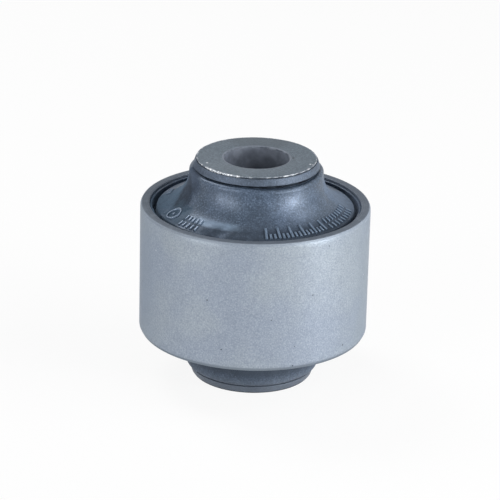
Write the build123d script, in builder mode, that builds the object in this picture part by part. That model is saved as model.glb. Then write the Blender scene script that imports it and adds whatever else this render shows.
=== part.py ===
from build123d import *
from math import radians, tan
import os

# A bonded rubber and metal bush, in millimetres.
# The origin is on the axis of the bolt bore, half way along the bush, and +Z runs along that axis.
# Three pieces are bonded face to face: a steel outer sleeve, a moulded rubber body and a steel inner sleeve.
# The rubber is the same at both ends. Only the outer sleeve's two lead-in chamfers differ.

# Inner sleeve: a thick cut tube, clamped between two lugs by the bolt through it
inner_length = 50.0
inner_outside_d = 26.0
bore_d = 14.2
bore_chamfer = 0.35
inner_edge_break = 0.12

# Outer sleeve: a thin tube that is pressed into an eye, lower end first
outer_length = 29.0
outer_outside_d = 50.0
outer_wall = 2.0
lead_in_height = 0.5
lead_in_depth = 0.35
low_lead_in_height = 0.8
low_lead_in_depth = 0.45
rim_inner_break = 0.15

# Rubber skin at the ends of the inner sleeve: a cone that stops short of the bare end face
bare_edge = 0.4
collar_top_thickness = 0.25
collar_base_thickness = 0.75
collar_height = 1.45

# Moulded shut-off groove that parts the collar from the neck
groove_width = 0.4
groove_rubber = 0.25

# Neck, and the flange that it flares into
neck_thickness = 1.5
neck_shoulder_radius = 0.8
neck_draft = 2.0
flange_slope = 27.0
root_radius = 7.3
flange_edge_drop = 0.75
flange_edge_chamfer = 0.35

# Narrow moat between the flange and the thin lip that lines the outer sleeve
moat_width = 1.0
moat_depth = 2.2
moat_floor_chamfer = 0.3
lip_thickness = 0.6
lip_drop = 0.55
lip_edge_chamfer = 0.15

# Radii of the bonded faces, which the rubber shares with the two sleeves
inner_bond_r = inner_outside_d / 2
outer_bond_r = outer_outside_d / 2 - outer_wall

# Heights above the middle, worked out from the two sleeves
collar_top_z = inner_length / 2 - bare_edge
collar_base_z = collar_top_z - collar_height
neck_top_z = collar_base_z - groove_width
rim_z = outer_length / 2
lip_top_z = rim_z - lip_drop
flange_edge_z = rim_z - flange_edge_drop
moat_floor_z = flange_edge_z - moat_depth

# Radii of the rubber's outside
collar_top_r = inner_bond_r + collar_top_thickness
collar_base_r = inner_bond_r + collar_base_thickness
groove_r = inner_bond_r + groove_rubber
neck_r = inner_bond_r + neck_thickness
lip_r = outer_bond_r - lip_thickness
flange_r = lip_r - moat_width

# The drafted neck line meets the sloping flange line at the root corner
draft_rise = tan(radians(neck_draft))
slope_rise = tan(radians(flange_slope))
root_reach = flange_r - neck_r - neck_top_z * draft_rise
root_z = (flange_edge_z + root_reach * slope_rise) / (1 - draft_rise * slope_rise)
root_r = neck_r + (neck_top_z - root_z) * draft_rise

# The root fillet is as large as the two lines that it joins allow, short of what trims their far ends
shoulder_trim = neck_shoulder_radius * tan(radians(90 - neck_draft) / 2)
neck_line = Vector(root_r - neck_r, root_z - neck_top_z).length - shoulder_trim
flange_line = Vector(root_r - flange_r, root_z - flange_edge_z).length - flange_edge_chamfer
root_turn = radians(90 - neck_draft - flange_slope)
root_room = min(neck_line, flange_line) / tan(root_turn / 2)
root_fillet = min(root_radius, 0.95 * root_room)


# Outer sleeve: the lead-in chamfers are on its outside, the small breaks inside
with BuildPart() as outer_sleeve:
    with BuildSketch(Plane.XY.offset(-outer_length / 2)):
        Circle(outer_outside_d / 2)
        Circle(outer_bond_r, mode=Mode.SUBTRACT)
    extrude(amount=outer_length)
    inside, outside = outer_sleeve.faces().filter_by(GeomType.CYLINDER).sort_by(SortBy.AREA)
    chamfer(inside.edges().filter_by(GeomType.CIRCLE), length=rim_inner_break)
    lead_ins = ((lead_in_height, lead_in_depth, -1), (low_lead_in_height, low_lead_in_depth, 0))
    for height, depth, end in lead_ins:
        outside = outer_sleeve.faces().filter_by(GeomType.CYLINDER).sort_by(SortBy.AREA)[-1]
        edge = outside.edges().filter_by(GeomType.CIRCLE).sort_by(Axis.Z)[end]
        chamfer(edge, length=height, length2=depth, reference=outside)

outer_sleeve.part.label = "outer_sleeve"


# Inner sleeve
with BuildPart() as inner_sleeve:
    with BuildSketch(Plane.XY.offset(-inner_length / 2)):
        Circle(inner_bond_r)
        Circle(bore_d / 2, mode=Mode.SUBTRACT)
    extrude(amount=inner_length)
    bore, outside = inner_sleeve.faces().filter_by(GeomType.CYLINDER).sort_by(SortBy.AREA)
    chamfer(bore.edges().filter_by(GeomType.CIRCLE), length=bore_chamfer)
    outside = inner_sleeve.faces().filter_by(GeomType.CYLINDER).sort_by(SortBy.AREA)[-1]
    chamfer(outside.edges().filter_by(GeomType.CIRCLE), length=inner_edge_break)

inner_sleeve.part.label = "inner_sleeve"


# Corners of the upper half of the rubber's section, as radius and height
collar_edge = (collar_top_r, collar_top_z)
collar_foot = (collar_base_r, collar_base_z)
neck_shoulder = (neck_r, neck_top_z)
root = (root_r, root_z)
flange_edge = (flange_r, flange_edge_z)
moat_inner = (flange_r, moat_floor_z)
moat_outer = (lip_r, moat_floor_z)
lip_edge = (lip_r, lip_top_z)

rounded_corners = (
    (neck_shoulder, neck_shoulder_radius),
    (root, root_fillet),
)
chamfered_corners = (
    (flange_edge, flange_edge_chamfer),
    (moat_inner, moat_floor_chamfer),
    (moat_outer, moat_floor_chamfer),
    (lip_edge, lip_edge_chamfer),
)

# Rubber body: the half section turned round the axis, then mirrored to the lower end
with BuildPart() as rubber_body:
    with BuildSketch(Plane.XZ) as section:
        with BuildLine():
            Polyline(
                (inner_bond_r, 0),
                (inner_bond_r, collar_top_z),
                collar_edge,
                collar_foot,
                (groove_r, collar_base_z),
                (groove_r, neck_top_z),
                neck_shoulder,
                root,
                flange_edge,
                moat_inner,
                moat_outer,
                lip_edge,
                (outer_bond_r, lip_top_z),
                (outer_bond_r, 0),
                close=True,
            )
        make_face()
        for corner, radius in rounded_corners:
            fillet(section.vertices().sort_by_distance(corner)[0], radius)
        for corner, length in chamfered_corners:
            chamfer(section.vertices().sort_by_distance(corner)[0], length)
    revolve(axis=Axis.Z)
    mirror(about=Plane.XY)

rubber_body.part.label = "rubber_body"

os.makedirs("parts", exist_ok=True)
export_step(outer_sleeve.part, "parts/outer_sleeve.step")
export_step(rubber_body.part, "parts/rubber_body.step")
export_step(inner_sleeve.part, "parts/inner_sleeve.step")
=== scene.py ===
"""A bonded rubber and metal bush: a blasted steel sleeve, a moulded rubber body and a thick inner sleeve."""

import math

import bpy
import numpy as np
from mathutils import Matrix, Vector

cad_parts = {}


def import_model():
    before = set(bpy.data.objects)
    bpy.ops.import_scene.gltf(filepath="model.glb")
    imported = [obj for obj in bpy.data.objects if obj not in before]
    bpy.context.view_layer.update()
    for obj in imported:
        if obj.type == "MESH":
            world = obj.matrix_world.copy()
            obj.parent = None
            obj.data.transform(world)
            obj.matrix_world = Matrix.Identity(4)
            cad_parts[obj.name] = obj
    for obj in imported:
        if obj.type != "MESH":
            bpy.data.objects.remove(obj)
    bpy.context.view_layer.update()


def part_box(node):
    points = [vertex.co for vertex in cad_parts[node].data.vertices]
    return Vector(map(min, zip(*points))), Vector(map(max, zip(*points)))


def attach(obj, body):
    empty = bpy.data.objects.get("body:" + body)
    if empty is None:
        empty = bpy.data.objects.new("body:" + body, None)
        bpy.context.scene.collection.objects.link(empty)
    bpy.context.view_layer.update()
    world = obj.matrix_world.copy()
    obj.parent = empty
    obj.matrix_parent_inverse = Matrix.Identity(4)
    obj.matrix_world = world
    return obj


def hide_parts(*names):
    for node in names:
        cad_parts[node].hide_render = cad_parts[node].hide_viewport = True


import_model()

MM = 0.001

# Fineness: steps round the axis and round the dial's ring, roughly how many degrees of a corner one step turns, and
# the gap below which two points of a section are one
turn_steps = 360
ring_steps = 48
arc_step = 11.0
same_point = 1e-7

# Sizes that the frame gives
sleeve_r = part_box("outer_sleeve")[1].x
rim_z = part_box("outer_sleeve")[1].z
half_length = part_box("inner_sleeve")[1].z
inner_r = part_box("inner_sleeve")[1].x
bond_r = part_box("rubber_body")[1].x
collar_top_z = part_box("rubber_body")[1].z

# Outer sleeve
lead_in_height = 0.5 * MM
lead_in_depth = 0.29 * MM
taper_height = 1.4 * MM
taper_depth = 0.03 * MM
low_lead_in_height = 0.8 * MM
low_lead_in_depth = 0.45 * MM
rim_break = 0.15 * MM
rim_break_radius = 0.05 * MM

# Inner sleeve
bore_r = 7.1 * MM
bore_mouth_radius = 0.36 * MM
face_sink = 0.06 * MM
edge_break = 0.12 * MM

# Marks on the upper end face, as place, size, strength and tone: a faint painted highlight at the front left, a
# painted shade at the back, a pit by the bore, and scrapes near the edge, one on the left and two on the right
face_spots = (
    ((-6.5 * MM, -9.5 * MM, half_length), 8 * MM, 0.1, (0.27, 0.30, 0.33, 1.0)),
    ((1.0 * MM, 11.5 * MM, half_length), 9 * MM, 0.5, (0.055, 0.072, 0.09, 1.0)),
    ((7.9 * MM, 0.0, half_length), 0.45 * MM, 1.0, (0.03, 0.035, 0.045, 1.0)),
    ((-10.6 * MM, -4.4 * MM, half_length), 0.32 * MM, 1.0, (0.75, 0.78, 0.82, 1.0)),
    ((11.5 * MM, -3.7 * MM, half_length), 0.32 * MM, 1.0, (0.75, 0.78, 0.82, 1.0)),
    ((12.2 * MM, -4.1 * MM, half_length), 0.38 * MM, 1.0, (0.62, 0.65, 0.70, 1.0)),
)

# Bare ragged edge of the upper end face: its steps and its seed, the runs of its fine and coarse chips, how far it
# reaches inwards and down the side where it is light and where it is heavy, how far it stands proud of the side, and
# where the heavy stretch starts, ends and fades
burr_turns = 1440
burr_seed = 21
burr_runs = (3, 14)
burr_reach = (0.08 * MM, 0.65 * MM)
burr_drop = (0.09 * MM, 0.42 * MM)
burr_proud = 0.05 * MM
burr_heavy = (math.radians(-54), math.radians(-18))
burr_soft = math.radians(5)

# Rubber body
collar_top_thickness = 0.25 * MM
collar_base_thickness = 0.75 * MM
collar_height = 1.45 * MM
collar_corner_radius = 0.12 * MM
collar_wave = 0.02 * MM
collar_wave_depth = 2.2 * MM
collar_wave_fade = 1.8 * MM
groove_width = 0.4 * MM
groove_rubber = 0.25 * MM
groove_film = 0.03 * MM
groove_film_sink = 0.15 * MM
wide_groove = 0.3 * MM
wide_groove_span = (math.radians(10), math.radians(60))
wide_groove_soft = math.radians(25)
neck_thickness = 1.5 * MM
neck_shoulder_radius = 0.8 * MM
neck_draft = math.radians(2)
flange_slope = math.radians(27)
root_radius = 7.3 * MM
flange_edge_drop = 0.75 * MM
flange_edge_radius = 0.45 * MM
flange_bend_r = 19.9 * MM
flange_bend_sink = 0.35 * MM
flange_bend_radius = 8.5 * MM
moat_width = 1.0 * MM
moat_depth = 2.2 * MM
moat_draft = 0.35 * MM
moat_floor_radius = 0.2 * MM
lip_thickness = 0.6 * MM
lip_drop = 0.55 * MM
lip_corner_radius = 0.2 * MM
lip_wave = 0.05 * MM
torn_height = 0.35 * MM
torn_span = (math.radians(-78.5), math.radians(-76))
torn_soft = math.radians(1.2)

# Tint of the light that the rubber's bloom reflects
bloom_tint = (0.65, 0.78, 1.0, 1.0)

# Patches on the rubber: place, reach, the radii that each grows and fades over, strength, tone and added roughness.
# In order: a matt bloom on the flange at the left and at the right, its blue tone a painted reflection, painted
# shade on the neck and on its root at the left, a streak of painted highlight at the front left, painted shade at
# the front of the root and of the low neck, a matt patch at the dial, and painted shade along the flange's edge by
# the streak and behind the front of the rim.
all_radii = (12 * MM, 13 * MM, 23 * MM, 24 * MM)
rubber_patches_and_painted_light = (
    ((-19.4 * MM, -1.0 * MM, 14.8 * MM), 9.5 * MM, all_radii, 0.85, (0.062, 0.102, 0.146, 1.0), 0.6),
    ((19.4 * MM, 2.0 * MM, 15.0 * MM), 9.0 * MM, all_radii, 0.6, (0.13, 0.165, 0.22, 1.0), 0.45),
    ((-14.2 * MM, -4.6 * MM, 21.2 * MM), 5.5 * MM, all_radii, 0.9, (0.042, 0.055, 0.082, 1.0), 0.6),
    ((-15.2 * MM, -4.8 * MM, 17.4 * MM), 5.0 * MM, all_radii, 0.9, (0.003, 0.005, 0.009, 1.0), 0.6),
    ((-8.6 * MM, -16.0 * MM, 15.5 * MM), 8.0 * MM, (17.0 * MM, 18.0 * MM, 18.6 * MM, 19.3 * MM), 0.9,
     (0.20, 0.285, 0.39, 1.0), 0.0),
    ((0.5 * MM, -17.0 * MM, 16.4 * MM), 4.5 * MM, all_radii, 0.5, (0.018, 0.026, 0.038, 1.0), 0.0),
    ((0.5 * MM, -14.6 * MM, -21.0 * MM), 5.0 * MM, all_radii, 0.3, (0.018, 0.026, 0.038, 1.0), 0.0),
    ((-17.4 * MM, -9.6 * MM, 14.5 * MM), 5 * MM, all_radii, 0.7, (0.040, 0.070, 0.100, 1.0), 0.35),
    ((-10.4 * MM, -16.6 * MM, 14.5 * MM), 7.0 * MM, (18.9 * MM, 19.4 * MM, 23 * MM, 24 * MM), 0.6,
     (0.018, 0.030, 0.046, 1.0), 0.1),
    ((7 * MM, -19 * MM, 14 * MM), 24 * MM, (16.9 * MM, 19.3 * MM, 23 * MM, 24 * MM), 0.95,
     (0.0050, 0.010, 0.017, 1.0), 0.4),
)

# Raised marks on the flange
mark_lift = 0.32 * MM
mark_bevel = 0.09 * MM
mark_sink = 0.25 * MM
mark_width = 0.5 * MM
dial_r = 19.4 * MM
dial_azimuth = math.radians(-64)
dial_ring_r = 1.5 * MM
dial_ring_width = 0.35 * MM

# Camera: it stands straight in front, tipped down, at the photograph's distance and roll
lens_mm = 197.43
camera_distance = 600 * MM
camera_elevation = math.radians(21.492)
camera_roll = math.radians(1.406)
camera_right = -0.885 * MM
camera_up = 3.182 * MM

# Stage: the even light, and the floor's half width, its tone and the share of its shadow that shows
ambient = 0.2
floor_reach = 3.0
floor_tone = (0.9, 0.9, 0.9, 1.0)
floor_shadow = 0.1

# Square lamps, all at one distance: name, azimuth and elevation in degrees, side and power
lamp_distance = 0.6
lamps = (
    ("left_low", -52, 5, 0.2, 1.25),
    ("left_key", -42, 21, 0.22, 0.75),
    ("right_low", 65, 5, 0.16, 2.7),
    ("right_key", 56, 22, 0.22, 1.08),
    ("right_side", 86, 39, 0.3, 1.05),
    ("back_left", -134, 52, 0.24, 1.4),
)


# Section and surface helpers

def rounded_section(corners):
    """A closed section from rows of radius, height, corner radius and spacing.

    Each corner is an arc tangent to its two sides, and a side is divided at the spacing of the later of its corners.
    The rows go round with the solid on their right, when the radius is drawn to the right and the height up. The
    section runs the other way.
    """
    rows = np.array(corners, float)[::-1]
    place, rounding, spacing = rows[:, :2], rows[:, 2], rows[:, 3]
    before = place - np.roll(place, 1, 0)
    after = np.roll(place, -1, 0) - place
    before /= np.linalg.norm(before, axis=1)[:, None]
    after /= np.linalg.norm(after, axis=1)[:, None]
    turn = np.arctan2(before[:, 0] * after[:, 1] - before[:, 1] * after[:, 0], (before * after).sum(1))
    trim = rounding * np.tan(np.abs(turn) / 2)
    pieces = []
    for i in range(len(rows)):
        steps = max(2, int(math.degrees(abs(turn[i])) / arc_step) + 1) if rounding[i] > 0 else 1
        swing = np.linspace(0, turn[i], steps)
        side = np.sign(turn[i]) or 1.0
        start = place[i] - before[i] * trim[i]
        centre = start + side * rounding[i] * np.array([-before[i, 1], before[i, 0]])
        spoke = np.stack([before[i, 1] * np.cos(swing) + before[i, 0] * np.sin(swing),
                          before[i, 1] * np.sin(swing) - before[i, 0] * np.cos(swing)], 1)
        arc = centre + side * rounding[i] * spoke
        pieces.append(arc)
        nxt = (i + 1) % len(rows)
        far = place[nxt] - before[nxt] * trim[nxt]
        run = np.linalg.norm(far - arc[-1])
        share = np.linspace(0, 1, max(2, int(run / spacing[i]) + 2))[1:-1, None]
        pieces.append(arc[-1] + share * (far - arc[-1]))
    points = np.concatenate(pieces)
    step = np.linalg.norm(points - np.roll(points, 1, 0), axis=1)
    return points[step > same_point]


def turned(name, section, relief=None):
    """A closed surface of revolution: the point at angle a is (r cos a, r sin a, z).

    relief takes the radius, height and angle grids and returns the radius and height grids that replace them.
    """
    angle = np.arange(turn_steps) * (2 * np.pi / turn_steps)
    radius = np.repeat(section[:, :1], turn_steps, 1)
    height = np.repeat(section[:, 1:], turn_steps, 1)
    around = np.repeat(angle[None, :], len(section), 0)
    if relief:
        radius, height = relief(radius, height, around)
    return add_piece(name, np.stack([radius * np.cos(around), radius * np.sin(around), height], -1))


def add_piece(name, points):
    """A closed mesh from a grid of points whose rows and columns both wrap round."""
    rows, columns = points.shape[:2]
    i = np.arange(rows)[:, None]
    j = np.arange(columns)[None, :]
    i_next, j_next = (i + 1) % rows, (j + 1) % columns
    quads = np.stack([i * columns + j, i * columns + j_next, i_next * columns + j_next, i_next * columns + j], -1)
    quads = quads.reshape(-1, 4)
    mesh = bpy.data.meshes.new(name)
    mesh.vertices.add(rows * columns)
    mesh.vertices.foreach_set("co", points.astype(np.float32).ravel())
    mesh.loops.add(quads.size)
    mesh.loops.foreach_set("vertex_index", quads.astype(np.int32).ravel())
    mesh.polygons.add(len(quads))
    mesh.polygons.foreach_set("loop_start", np.arange(0, quads.size, 4, dtype=np.int32))
    mesh.update(calc_edges=True)
    mesh.validate()
    mesh.shade_smooth()
    piece = bpy.data.objects.new(name, mesh)
    bpy.context.scene.collection.objects.link(piece)
    return piece


def ripple(angle, seed, low, high):
    """A periodic wave round the axis: a sum of cosines of whole orders from low to high, each as 1 over its order."""
    rng = np.random.default_rng(seed)
    orders = np.arange(low, high + 1)
    phases = rng.uniform(0, 2 * np.pi, len(orders))
    sizes = rng.uniform(0.4, 1.0, len(orders)) / orders
    wave = sum(s * np.cos(k * angle + p) for s, k, p in zip(sizes, orders, phases))
    return wave / np.sqrt((sizes ** 2).sum())


# Outer sleeve

def outer_tube():
    """The sleeve's section turned round the axis, with a lead-in chamfer at each end and a slight taper at the top."""
    r, z = sleeve_r, rim_z
    section = rounded_section([
        (bond_r, -z + rim_break, rim_break_radius, 3 * MM),
        (bond_r, z - rim_break, rim_break_radius, 1 * MM),
        (bond_r + rim_break, z, rim_break_radius, 0.3 * MM),
        (r - lead_in_depth - taper_depth, z, 0.2 * MM, 0.2 * MM),
        (r - taper_depth, z - lead_in_height, 0.5 * MM, 0.5 * MM),
        (r, z - taper_height, 4.0 * MM, 2 * MM),
        (r, -z + low_lead_in_height, 0.8 * MM, 0.3 * MM),
        (r - low_lead_in_depth, -z, 0.12 * MM, 0.3 * MM),
        (bond_r + rim_break, -z, rim_break_radius, 1 * MM),
    ])
    return turned("sleeve_tube", section)


# Inner sleeve

def inner_tube():
    """The inner sleeve's section turned round the axis."""
    face_z = half_length - face_sink
    section = rounded_section([
        (bore_r, face_z, bore_mouth_radius, 1 * MM),
        (inner_r, face_z, edge_break, 4 * MM),
        (inner_r, -face_z, edge_break, 1 * MM),
        (bore_r, -face_z, bore_mouth_radius, 4 * MM),
    ])
    return turned("core_tube", section)


def azimuth_of(angle):
    """The angle round the axis from the front, from -pi to pi, positive to the right."""
    return (angle + 1.5 * np.pi) % (2 * np.pi) - np.pi


def window(value, low, high, soft):
    """A share that is 1 between two ends and falls to 0 over the soft distance outside them."""
    share = np.clip(np.minimum(value - low, high - value) / soft + 1, 0, 1)
    return share * share * (3 - 2 * share)


def chips(steps, seed, run):
    """Random values from 0 to 1 round a circle, averaged over a run of neighbours and spread out again."""
    values = np.random.default_rng(seed).uniform(0, 1, steps)
    mean = np.mean([np.roll(values, k) for k in range(run)], 0)
    return np.clip((mean - 0.5) * math.sqrt(run) + 0.5, 0, 1)


def edge_burr():
    """A ragged bare lip round the upper end face.

    Its section has six corners. The reach along the face and the drop down the side change at each step by chips
    of two sizes, and both are larger in the heavy stretch. The attribute scraped says how heavy the lip is there.
    """
    angle = np.arange(burr_turns) * (2 * np.pi / burr_turns)
    heavy = window(azimuth_of(angle), *burr_heavy, burr_soft)
    fine, coarse = chips(burr_turns, burr_seed, burr_runs[0]), chips(burr_turns, burr_seed + 1, burr_runs[1])
    ragged = 0.45 * fine + 0.55 * coarse
    share = np.clip(heavy * (0.25 + 0.75 * ragged) + (1 - heavy) * 0.42 * ragged * coarse, 0, 1)
    reach = burr_reach[0] * (0.5 + ragged) + (burr_reach[1] - burr_reach[0]) * share
    drop = burr_drop[0] * (0.5 + coarse) + (burr_drop[1] - burr_drop[0]) * np.roll(share, 5)
    rise = face_sink * (0.25 + 0.7 * share)
    proud = burr_proud * (0.3 + fine)
    face_z = half_length - face_sink
    radius = inner_r + np.stack([0.01 * MM + 0 * proud, proud, -0.04 * MM - 0.4 * proud,
                                 -reach, -reach, -0.15 * MM - reach])
    height = face_z + np.stack([-drop, -0.35 * drop, rise, 0.12 * rise, -0.08 * MM - 0 * rise, -0.1 * MM - drop])
    burr = add_piece("edge_burr", np.stack([radius * np.cos(angle), radius * np.sin(angle), height], -1))
    scraped_and_glint = burr.data.attributes.new("scraped_and_glint", "FLOAT", "POINT")
    scraped_and_glint.data.foreach_set("value", np.tile(share, len(radius)).astype(np.float32))
    return burr


# Rubber body

def rubber_corners():
    """Corner rows of the rubber's upper half, from the inner bond to the outer one."""
    neck_r = inner_r + neck_thickness
    groove_r = inner_r + groove_rubber
    collar_base_z = collar_top_z - collar_height
    neck_top_z = collar_base_z - groove_width
    lip_r = bond_r - lip_thickness
    flange_r = lip_r - moat_width
    edge_z = rim_z - flange_edge_drop
    floor_z = edge_z - moat_depth
    lip_top_z = rim_z - lip_drop
    draft, slope = math.tan(neck_draft), math.tan(flange_slope)
    root_z = (edge_z + (flange_r - neck_r - neck_top_z * draft) * slope) / (1 - draft * slope)
    root_r = neck_r + (neck_top_z - root_z) * draft
    bend_z = edge_z + (flange_r - flange_bend_r) * slope - flange_bend_sink
    return [
        (inner_r, collar_top_z, 0, 4 * MM),
        (inner_r + collar_top_thickness, collar_top_z, collar_corner_radius, 0.3 * MM),
        (inner_r + collar_base_thickness, collar_base_z, collar_corner_radius, 0.1 * MM),
        (groove_r, collar_base_z, collar_corner_radius, 0.1 * MM),
        (groove_r, neck_top_z, collar_corner_radius, 0.1 * MM),
        (neck_r, neck_top_z, neck_shoulder_radius, 0.4 * MM),
        (root_r, root_z, root_radius, 0.4 * MM),
        (flange_bend_r, bend_z, flange_bend_radius, 0.3 * MM),
        (flange_r, edge_z, flange_edge_radius, 0.3 * MM),
        (flange_r + moat_draft, floor_z, moat_floor_radius, 0.1 * MM),
        (lip_r, floor_z, moat_floor_radius, 0.4 * MM),
        (lip_r, lip_top_z, lip_corner_radius, 0.1 * MM),
        (bond_r, lip_top_z, 0, 4 * MM),
    ]


def rubber_section():
    """The rubber's half section and its mirror image, as one closed section."""
    upper = rubber_corners()
    lower = [(r, -z, rounding, 4 * MM if r == bond_r else 0.4 * MM) for r, z, rounding, _ in upper]
    return rounded_section(upper + lower[::-1])


def hand_trimmed(radius, height, around):
    """Small faults of a moulding, in every point's radius and height.

    The collar and the groove wander as waves round the axis, which die away down the neck. The upper groove is wider
    in one stretch, and the lip is wavy with one torn bit.
    """
    top, up = np.abs(height), np.sign(height)
    lip = (radius > bond_r - lip_thickness - 0.02 * MM) & (radius < bond_r - 0.01 * MM) & (top > rim_z - 1.5 * MM)
    torn = window(azimuth_of(around), *torn_span, torn_soft) * (height > 0)
    height = height + lip * (lip_wave * up * ripple(around, 11, 3, 40) + torn * torn_height)
    end = window(top, collar_top_z - collar_wave_depth, half_length, collar_wave_fade)
    below_collar = window(height, 0, collar_top_z - collar_height - 0.15 * MM, 0.05 * MM)
    wide = window(azimuth_of(around), *wide_groove_span, wide_groove_soft)
    height = height - end * below_collar * wide * wide_groove
    height = height + up * end * collar_wave * ripple(around, 12, 2, 30)
    radius = radius + (radius > inner_r) * end * collar_wave * ripple(around, 13, 3, 24)
    return radius, height


def rubber_moulding():
    """The rubber's section turned round the axis, with the small faults of its moulding."""
    return turned("rubber_moulding", rubber_section(), hand_trimmed)


def groove_shade_film():
    """Painted shade: a thin dark film on the upper groove's floor, its section turned round the axis, moved as the
    rubber is.
    """
    floor_r = inner_r + groove_rubber
    top_z = collar_top_z - collar_height
    section = rounded_section([
        (floor_r - groove_film_sink, top_z, 0, 0.2 * MM),
        (floor_r + groove_film, top_z, 0, 0.1 * MM),
        (floor_r + groove_film, top_z - groove_width - groove_film, 0, 0.2 * MM),
        (floor_r - groove_film_sink, top_z - groove_width - groove_film, 0, 0.4 * MM),
    ])
    return turned("groove_shade_film", section, hand_trimmed)


# Raised marks on the flange: a plain graduated scale and a plain mould dial

def on_flange(radius, azimuth, lift):
    """Points over the upper flange: the section's own height at that radius, plus the lift."""
    section = rubber_section()
    line = section[(section[:, 1] > rim_z - flange_edge_drop - 0.3 * MM) & (section[:, 0] > inner_r + neck_thickness)
                   & (section[:, 0] < bond_r - lip_thickness - moat_width)]
    line = line[np.argsort(line[:, 0])]
    height = np.interp(radius, line[:, 0], line[:, 1]) + lift
    return np.stack([radius * np.sin(azimuth), -radius * np.cos(azimuth), height], -1)


def mark_section(width):
    """The section across a mark, as offsets and lifts: sunk sides, bevelled corners and a flat top."""
    side = np.array([1, 1, 1, -1, -1, -1])
    inset = np.array([0, 0, mark_bevel, mark_bevel, 0, 0])
    lift = np.array([-mark_sink, mark_lift - mark_bevel, mark_lift, mark_lift, mark_lift - mark_bevel, -mark_sink])
    return side * (width / 2 - inset), lift


def raised_bars(name, bars):
    """Bevelled bars on the flange, from rows of radius, azimuth, length and width.

    Each bar is the mark section carried along a short line away from the axis, and is lower at its two ends.
    """
    spot_r, azimuth, length, width = [column[:, None, None] for column in bars.T]
    across, lift = mark_section(width)
    end = np.array([-1, -1, 1, 1])[None, :, None]
    inset = np.array([0, mark_bevel, mark_bevel, 0])[None, :, None]
    along = end * (length / 2 - inset)
    lift = np.minimum(lift, np.where(inset > 0, mark_lift, mark_lift - mark_bevel))
    return add_strips(name, on_flange(spot_r + along, azimuth + across / spot_r, lift))


def dial_ring():
    """A bevelled ring on the flange: the mark section carried round a small circle."""
    across, lift = mark_section(dial_ring_width)
    round_it = np.linspace(2 * np.pi, 0, ring_steps + 1)[:-1, None]
    reach = dial_ring_r + across
    points = on_flange(dial_r + reach * np.cos(round_it), dial_azimuth + reach * np.sin(round_it) / dial_r, lift)
    return add_piece("flange_dial_ring", points)


def add_strips(name, points):
    """A mesh of many short closed strips from a grid of strip, row and column, with a flat cap at each end."""
    strips, rows, columns = points.shape[:3]
    start = np.arange(strips)[:, None, None] * rows * columns
    i, j = np.arange(rows - 1)[None, :, None], np.arange(columns)[None, None, :]
    j_next = (j + 1) % columns
    first, above = start + i * columns, start + (i + 1) * columns
    quads = np.stack([first + j, first + j_next, above + j_next, above + j], -1).reshape(-1, 4)
    ring = np.arange(columns)[None, :]
    caps = np.concatenate([start[:, 0] + ring[:, ::-1], start[:, 0] + (rows - 1) * columns + ring])
    mesh = bpy.data.meshes.new(name)
    mesh.from_pydata(points.reshape(-1, 3).tolist(), [], quads.tolist() + caps.tolist())
    piece = bpy.data.objects.new(name, mesh)
    bpy.context.scene.collection.objects.link(piece)
    return piece


def evenly(low, high, steps):
    """Angles in radians at even steps between two azimuths in degrees."""
    return np.radians(np.linspace(low, high, steps))


def bar_rows(spot_r, azimuth, length, width):
    """Bars at one radius and several azimuths, as rows of radius, azimuth, length and width."""
    same = np.ones(len(azimuth))
    return np.stack([spot_r * same, azimuth, length * same, width * same], 1)


def scale_bars():
    """A plain scale: tall ticks with two short ones between each pair, then two rows of short ticks up to the end."""
    tall, third = evenly(7, 47, 6), math.radians(8 / 3)
    short = evenly(52, 82, 9)
    return np.concatenate([
        bar_rows(19.4 * MM, tall, 2.7 * MM, mark_width),
        bar_rows(20.15 * MM, np.concatenate([tall[:-1] + third, tall[:-1] + 2 * third]), 1.2 * MM, mark_width),
        bar_rows(18.65 * MM, short, 1.1 * MM, 0.42 * MM),
        bar_rows(20.35 * MM, short, 1.2 * MM, 0.45 * MM),
    ])


def dial_bars():
    """A pip at the middle of the dial's ring, two short rows of ticks beside it and three ticks at the back."""
    beside = evenly(-51, -38, 5)
    return np.concatenate([
        bar_rows(dial_r, np.array([dial_azimuth]), 0.55 * MM, 0.55 * MM),
        bar_rows(18.55 * MM, beside, 1.1 * MM, 0.4 * MM),
        bar_rows(20.35 * MM, beside, 1.3 * MM, 0.4 * MM),
        bar_rows(19.4 * MM, evenly(-109, -102, 3), 0.9 * MM, 0.42 * MM),
    ])


# Materials

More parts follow.
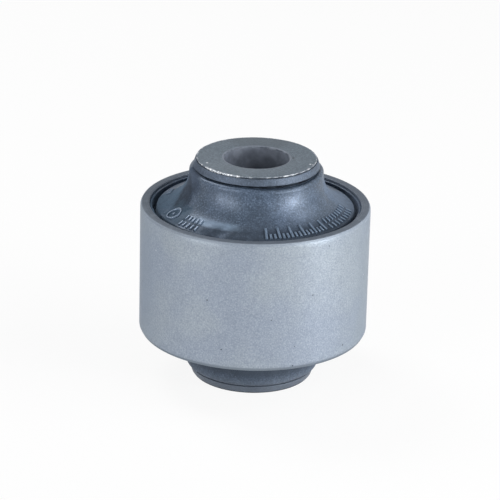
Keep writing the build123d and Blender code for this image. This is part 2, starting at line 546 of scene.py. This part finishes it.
class Recipe:
    """A material's node tree, built one node at a time."""

    def __init__(self, name):
        self.material = bpy.data.materials.new(name)
        self.material.use_nodes = True
        self.tree = self.material.node_tree
        self.shader = self.tree.nodes["Principled BSDF"]
        self.place = self.add("ShaderNodeTexCoord").outputs["Object"]

    def add(self, kind, inputs=(), **settings):
        """A new node with its settings, and its inputs as values or as sockets to link."""
        node = self.tree.nodes.new(kind)
        for key, value in settings.items():
            setattr(node, key, value)
        for key, value in dict(inputs).items():
            self.join(value, node.inputs[key])
        return node

    def join(self, value, socket):
        """Links a socket to an input, or sets the input to a value."""
        if isinstance(value, bpy.types.NodeSocket):
            self.tree.links.new(value, socket)
        else:
            socket.default_value = value

    def noise(self, scale, detail=3.0, rough=0.55):
        """Noise from 0 to 1 with its grain in cycles a metre."""
        values = {"Vector": self.place, "Scale": scale, "Detail": detail, "Roughness": rough}
        return self.add("ShaderNodeTexNoise", values).outputs["Fac"]

    def math(self, operation, first, second=0.0):
        """One step of arithmetic on values or sockets."""
        return self.add("ShaderNodeMath", {0: first, 1: second}, operation=operation).outputs[0]

    def span(self, value, low, high, to_low=0.0, to_high=1.0):
        """Maps low to high onto two new ends, clamped and smooth."""
        values = {0: value, 1: low, 2: high, 3: to_low, 4: to_high}
        return self.add("ShaderNodeMapRange", values, interpolation_type="SMOOTHSTEP").outputs[0]

    def mix(self, share, first, second):
        """A colour between two, by a share from 0 to 1."""
        node = self.add("ShaderNodeMix", data_type="RGBA")
        self.join(share, node.inputs[0])
        self.join(first, node.inputs[6])
        self.join(second, node.inputs[7])
        return node.outputs[2]

    def radius(self):
        """Distance from the axis."""
        flat = self.add("ShaderNodeVectorMath", {0: self.place, 1: (1, 1, 0)}, operation="MULTIPLY").outputs[0]
        return self.add("ShaderNodeVectorMath", {0: flat}, operation="LENGTH").outputs["Value"]

    def height(self):
        """Height above the middle of the bush."""
        return self.add("ShaderNodeSeparateXYZ", {0: self.place}).outputs["Z"]

    def rings(self, scale):
        """Noise that changes only with the distance from the axis, as a lathe tool leaves."""
        values = {"W": self.radius(), "Scale": scale, "Detail": 2.0}
        return self.add("ShaderNodeTexNoise", values, noise_dimensions="1D").outputs["Fac"]

    def specks(self, scale, size):
        """1 inside small round spots scattered at the points of a cell pattern, 0 elsewhere."""
        cells = self.add("ShaderNodeTexVoronoi", {"Vector": self.place, "Scale": scale}, feature="F1")
        return self.span(cells.outputs["Distance"], 0.6 * size * scale, size * scale, 1.0, 0.0)

    def near(self, place, size, wander=None):
        """1 close to a point, falling to 0 at the size. A wander socket moves that outline by its share of the size."""
        gap = self.add("ShaderNodeVectorMath", {0: self.place, 1: place}, operation="DISTANCE").outputs["Value"]
        if wander:
            gap = self.math("ADD", gap, self.math("MULTIPLY", wander, size))
        return self.span(gap, 0.5 * size, size, 1.0, 0.0)

    def bump(self, height, strength, distance):
        """The surface's direction, tilted by a relief that is as deep as the distance."""
        values = {"Height": height, "Strength": strength, "Distance": distance}
        return self.add("ShaderNodeBump", values).outputs["Normal"]

    def finish(self, **inputs):
        """Sets the shader's inputs, named with spaces as underscores."""
        for key, value in inputs.items():
            self.join(value, self.shader.inputs[key.replace("_", " ")])
        return self.material


def grey(red, green, blue):
    """A colour as the eye reads it, from 0 to 255, turned into linear light."""
    share = np.array([red, green, blue]) / 255
    linear = np.where(share <= 0.04045, share / 12.92, ((share + 0.055) / 1.055) ** 2.4)
    return (*linear, 1.0)


def blasted_steel():
    """Blasted and phosphated steel: a pale speckled wall with a few pits, and a duller turned rim."""
    m = Recipe("blasted_steel")
    grain = m.noise(3100, 2.0, 0.6)
    wall = m.mix(m.span(m.noise(60, 2.0), 0.35, 0.65), grey(142, 152, 166), grey(150, 159, 168))
    wall = m.mix(m.span(m.noise(330, 4.0), 0.35, 0.7, 0.0, 0.22), wall, grey(130, 140, 154))
    wall = m.mix(m.span(grain, 0.48, 0.70, 0.0, 0.38), wall, grey(178, 186, 196))
    wall = m.mix(m.span(grain, 0.30, 0.50, 0.42, 0.0), wall, grey(114, 124, 137))
    wall = m.mix(m.specks(260, 0.23 * MM), wall, grey(80, 88, 98))
    wall = m.mix(m.specks(170, 0.17 * MM), wall, grey(212, 217, 224))
    # Painted shade on the lower chamfer: the wall's foot is darker.
    foot = m.span(m.height(), 0.9 * MM - rim_z, 0.5 * MM - rim_z, 0.0, 0.75)
    wall = m.mix(foot, wall, grey(112, 122, 132))
    lead_in = m.span(m.height(), rim_z - 0.75 * MM, rim_z - 0.45 * MM)
    wall = m.mix(m.math("MULTIPLY", lead_in, 0.5), wall, grey(118, 127, 139))
    rim = m.mix(m.span(m.rings(5200), 0.3, 0.7), grey(88, 96, 107), grey(105, 113, 124))
    rim = m.mix(m.span(m.noise(700, 4.0), 0.45, 0.75, 0.0, 0.5), rim, grey(122, 130, 140))
    flat = m.span(m.height(), rim_z - 0.10 * MM, rim_z - 0.02 * MM)
    colour = m.mix(flat, wall, rim)
    metal = m.span(m.height(), rim_z - 0.75 * MM, rim_z - 0.45 * MM, 0.5, 0.25)
    rough = m.math("ADD", m.span(grain, 0.3, 0.7, 0.31, 0.41), m.math("MULTIPLY", lead_in, 0.15))
    return m.finish(Base_Color=colour, Metallic=metal, Roughness=rough,
                    Specular_IOR_Level=0.3, Specular_Tint=(0.2, 0.25, 0.3, 1.0), Normal=m.bump(grain, 0.5, 0.05 * MM))


def moulded_rubber():
    """Moulded rubber: a fine grain, a patchy blue bloom, the listed patches, mostly painted light, and duller collars.

    Dust and painted bounce light pale the low end to its tip. Its neck is duller, with painted shade by the sleeve.
    """
    m = Recipe("moulded_rubber")
    grain = m.noise(2900, 3.0, 0.65)
    colour = m.mix(m.span(m.noise(75, 3.0), 0.35, 0.65), grey(42, 54, 66), grey(51, 64, 81))
    colour = m.mix(m.span(m.noise(300, 5.0), 0.35, 0.75, 0.0, 0.6), colour, grey(64, 78, 96))
    colour = m.mix(m.span(grain, 0.48, 0.70, 0.0, 0.8), colour, grey(98, 113, 134))
    colour = m.mix(m.span(grain, 0.30, 0.50, 0.8, 0.0), colour, grey(23, 30, 39))
    colour = m.mix(m.specks(420, 0.10 * MM), colour, grey(150, 160, 174))
    # Dust with painted bounce light: the low end grows paler towards its tip.
    dust_and_bounce_light = m.span(m.height(), 5.5 * MM - collar_top_z, 1.0 * MM - collar_top_z, 0.0, 0.55)
    colour = m.mix(dust_and_bounce_light, colour, grey(104, 110, 118))
    low_end = m.span(m.height(), 2 * MM - rim_z, 4 * MM - rim_z, 1.0, 0.0)
    # Painted shade on the low neck, deepening towards the sleeve's foot.
    shaded = m.span(m.height(), 2.4 * MM - collar_top_z, 5.2 * MM - collar_top_z, 0.0, 0.85)
    colour = m.mix(m.math("MULTIPLY", shaded, low_end), colour, grey(44, 50, 58))
    low_neck = m.math("MULTIPLY", m.span(m.height(), 1.7 * MM - collar_top_z, 2.2 * MM - collar_top_z), low_end)
    mottle = m.span(m.noise(640, 5.0, 0.65), 0.35, 0.62, 0.62, 1.0)
    rough = m.span(m.noise(520, 4.0), 0.3, 0.7, 0.34, 0.46)
    wander = m.math("MULTIPLY", m.math("SUBTRACT", m.noise(230, 5.0, 0.6), 0.5), 1.3)
    # Painted light and shade, and bloom, from the patches listed above.
    for place, reach, radii, strength, tone, dulled in rubber_patches_and_painted_light:
        patch = m.math("MULTIPLY", m.near(place, reach, wander), m.span(m.radius(), radii[0], radii[1]))
        patch = m.math("MULTIPLY", patch, m.span(m.radius(), radii[2], radii[3], 1.0, 0.0))
        colour = m.mix(m.math("MULTIPLY", m.math("MULTIPLY", patch, mottle), strength), colour, tone)
        rough = m.math("ADD", rough, m.math("MULTIPLY", patch, dulled))
    on_collar = m.span(m.math("ABSOLUTE", m.height()), collar_top_z - collar_height - 0.3 * MM,
                       collar_top_z - collar_height - 0.1 * MM)
    colour = m.mix(m.math("MULTIPLY", on_collar, 0.4), colour, grey(66, 71, 78))
    rough = m.math("ADD", rough, m.math("MULTIPLY", on_collar, 0.16))
    rough = m.math("ADD", rough, m.math("MULTIPLY", low_neck, 0.42))
    return m.finish(Base_Color=colour, Roughness=rough, Specular_IOR_Level=0.86, Specular_Tint=bloom_tint,
                    Normal=m.bump(grain, 0.9, 0.06 * MM))


def raised_marks():
    """The rubber of the raised marks, shinier than the flange round them and paler as a painted highlight."""
    m = Recipe("raised_marks")
    grain = m.noise(2300, 3.0, 0.65)
    # Painted highlight: the marks are paler than the flange round them.
    colour = m.mix(m.span(grain, 0.4, 0.65), grey(84, 100, 118), grey(102, 118, 138))
    return m.finish(Base_Color=colour, Roughness=0.34, Specular_IOR_Level=0.95, Specular_Tint=bloom_tint,
                    Normal=m.bump(grain, 0.15, 0.05 * MM))


def painted_groove_shade():
    """Dull black painted shade in the groove, a little paler in places."""
    m = Recipe("painted_groove_shade")
    colour = m.mix(m.span(m.noise(500, 4.0), 0.4, 0.7), grey(17, 22, 29), grey(38, 45, 54))
    return m.finish(Base_Color=colour, Roughness=0.9, Specular_IOR_Level=0.1)


def phosphated_steel():
    """Dull phosphated steel: grey turned faces, painted shade on the side and deeper in the bore, a pale bore mouth."""
    m = Recipe("phosphated_steel")
    grain = m.noise(2300, 2.0, 0.6)
    face = m.mix(m.span(m.noise(140, 3.0), 0.35, 0.65), grey(79, 92, 103), grey(89, 101, 112))
    face = m.mix(m.span(m.rings(4200), 0.35, 0.7, 0.0, 0.35), face, grey(103, 115, 126))
    face = m.mix(m.span(grain, 0.46, 0.68, 0.0, 0.5), face, grey(119, 131, 142))
    face = m.mix(m.span(grain, 0.32, 0.48, 0.4, 0.0), face, grey(66, 77, 87))
    # The face spots hold a painted highlight and a painted shade as well as a pit and scrapes.
    for place, size, share, tone in face_spots:
        face = m.mix(m.math("MULTIPLY", m.near(place, size), share), face, tone)
    bore = m.mix(m.span(m.noise(420, 4.0), 0.3, 0.7), grey(98, 105, 117), grey(122, 129, 142))
    # Painted shade: the bore darkens lower down.
    bore = m.mix(m.span(m.height(), half_length - 9 * MM, half_length - 4 * MM, 0.9, 0.0), bore, grey(58, 64, 73))
    # Painted shade on the side below the ragged edge.
    side = m.mix(m.span(m.noise(800, 3.0), 0.35, 0.65), grey(34, 42, 52), grey(60, 68, 78))
    mouth = m.mix(m.span(m.noise(700, 3.0), 0.35, 0.65), grey(78, 86, 97), grey(116, 124, 135))
    at_mouth = m.math("MULTIPLY", m.span(m.height(), half_length - 0.55 * MM, half_length - 0.35 * MM),
                      m.span(m.radius(), bore_r + 0.10 * MM, bore_r + 0.20 * MM, 1.0, 0.0))
    colour = m.mix(m.span(m.radius(), bore_r + 0.3 * MM, bore_r + 0.45 * MM), m.mix(at_mouth, bore, mouth), face)
    colour = m.mix(m.span(m.radius(), inner_r - 0.05 * MM, inner_r - 0.02 * MM), colour, side)
    return m.finish(Base_Color=colour, Metallic=0.1, Roughness=0.5, Specular_IOR_Level=0.3,
                    Normal=m.bump(grain, 0.3, 0.04 * MM))


def bare_steel_and_glint():
    """Bare metal along the edge: bright with painted glint where the lip is heavy, a broken duller line elsewhere."""
    m = Recipe("bare_steel_and_glint")
    scraped_and_glint = m.add("ShaderNodeAttribute", attribute_name="scraped_and_glint").outputs["Fac"]
    # Painted glint: the near-white tone on the bare metal where the lip is heavy.
    bright = m.mix(m.span(m.noise(1900, 3.0), 0.42, 0.62), grey(138, 146, 156), grey(240, 243, 247))
    dull = m.mix(m.span(m.noise(700, 4.0), 0.45, 0.65), grey(92, 102, 114), grey(176, 182, 190))
    colour = m.mix(m.span(scraped_and_glint, 0.15, 0.4), dull, bright)
    return m.finish(Base_Color=colour, Metallic=0.35, Roughness=0.45, Normal=m.bump(m.noise(5000), 0.3, 0.03 * MM))


def dress(piece, node, material):
    """The piece stands for a node, rides on the one body and takes its material."""
    piece.data.materials.append(material)
    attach(piece, "root")
    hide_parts(node)


dress(outer_tube(), "outer_sleeve", blasted_steel())
dress(rubber_moulding(), "rubber_body", moulded_rubber())
dress(inner_tube(), "inner_sleeve", phosphated_steel())
marks = raised_marks()
for made in (raised_bars("flange_scale", scale_bars()), raised_bars("flange_ticks", dial_bars()), dial_ring()):
    dress(made, "rubber_body", marks)
# Painted shade: a dark film laid in the upper groove.
dress(groove_shade_film(), "rubber_body", painted_groove_shade())
dress(edge_burr(), "inner_sleeve", bare_steel_and_glint())


# Stage

def lit_but_white(name, colour, shadow_share):
    """A surface that camera, glossy and transmission rays see as white, with a share of its real light and shadow."""
    material = bpy.data.materials.new(name)
    material.use_nodes = True
    tree = material.node_tree
    diffuse = tree.nodes["Principled BSDF"]
    diffuse.inputs["Base Color"].default_value = colour
    diffuse.inputs["Roughness"].default_value = 1.0
    white = tree.nodes.new("ShaderNodeEmission")
    mixed = tree.nodes.new("ShaderNodeMixShader")
    tree.links.new(white_rays(tree, 1 - shadow_share), mixed.inputs[0])
    tree.links.new(diffuse.outputs[0], mixed.inputs[1])
    tree.links.new(white.outputs[0], mixed.inputs[2])
    tree.links.new(mixed.outputs[0], tree.nodes["Material Output"].inputs["Surface"])
    return material


def white_rays(tree, share):
    """The share for rays from the camera, or off or through a glossy surface, and 0 for the rest."""
    path = tree.nodes.new("ShaderNodeLightPath")
    total = path.outputs["Is Camera Ray"]
    for output in ("Is Glossy Ray", "Is Transmission Ray"):
        either = tree.nodes.new("ShaderNodeMath")
        either.operation = "MAXIMUM"
        tree.links.new(total, either.inputs[0])
        tree.links.new(path.outputs[output], either.inputs[1])
        total = either.outputs[0]
    scaled = tree.nodes.new("ShaderNodeMath")
    scaled.operation = "MULTIPLY"
    scaled.inputs[1].default_value = share
    tree.links.new(total, scaled.inputs[0])
    return scaled.outputs[0]


def floor():
    """A wide pale floor at the lower end face."""
    mesh = bpy.data.meshes.new("floor")
    reach, level = floor_reach, -half_length
    corners = [(-reach, -reach, level), (reach, -reach, level), (reach, reach, level), (-reach, reach, level)]
    mesh.from_pydata(corners, [], [(0, 1, 2, 3)])
    plane = bpy.data.objects.new("floor", mesh)
    bpy.context.scene.collection.objects.link(plane)
    plane.data.materials.append(lit_but_white("floor_white", floor_tone, floor_shadow))


def world():
    """Even light from all round, seen as white."""
    made = bpy.data.worlds.new("studio")
    made.use_nodes = True
    tree = made.node_tree
    background = tree.nodes["Background"]
    white = tree.nodes.new("ShaderNodeBackground")
    mixed = tree.nodes.new("ShaderNodeMixShader")
    background.inputs["Strength"].default_value = ambient
    background.inputs["Color"].default_value = (1, 1, 1, 1)
    tree.links.new(white_rays(tree, 1.0), mixed.inputs[0])
    tree.links.new(background.outputs[0], mixed.inputs[1])
    tree.links.new(white.outputs[0], mixed.inputs[2])
    tree.links.new(mixed.outputs[0], tree.nodes["World Output"].inputs["Surface"])
    bpy.context.scene.world = made


def softbox(name, azimuth, elevation, side, power):
    """A square lamp aimed at the origin. Azimuth 0 is in front, and positive is to the right."""
    a, e = math.radians(azimuth), math.radians(elevation)
    back = Vector((math.sin(a) * math.cos(e), -math.cos(a) * math.cos(e), math.sin(e)))
    lamp = bpy.data.lights.new(name, "AREA")
    lamp.size, lamp.energy = side, power
    holder = bpy.data.objects.new(name, lamp)
    holder.location = back * lamp_distance
    holder.rotation_mode = "QUATERNION"
    holder.rotation_quaternion = (-back).to_track_quat("-Z", "Y")
    bpy.context.scene.collection.objects.link(holder)


def camera():
    """The camera looks along -back, with its picture rolled, and stands off the axis by two small steps."""
    e, roll = camera_elevation, camera_roll
    back = Vector((0, -math.cos(e), math.sin(e)))
    level, upright = Vector((1, 0, 0)), Vector((0, math.sin(e), math.cos(e)))
    right = math.cos(roll) * level + math.sin(roll) * upright
    up = math.cos(roll) * upright - math.sin(roll) * level
    data = bpy.data.cameras.new("camera")
    data.lens = lens_mm
    data.clip_start, data.clip_end = 0.05, 20
    holder = bpy.data.objects.new("camera", data)
    spot = back * camera_distance + right * camera_right + up * camera_up
    turn = Matrix((right, up, back)).transposed().to_4x4()
    holder.matrix_world = Matrix.Translation(spot) @ turn
    bpy.context.scene.collection.objects.link(holder)
    bpy.context.scene.camera = holder


floor()
world()
for row in lamps:
    softbox(*row)
camera()
bpy.context.scene.view_settings.view_transform = "Standard"
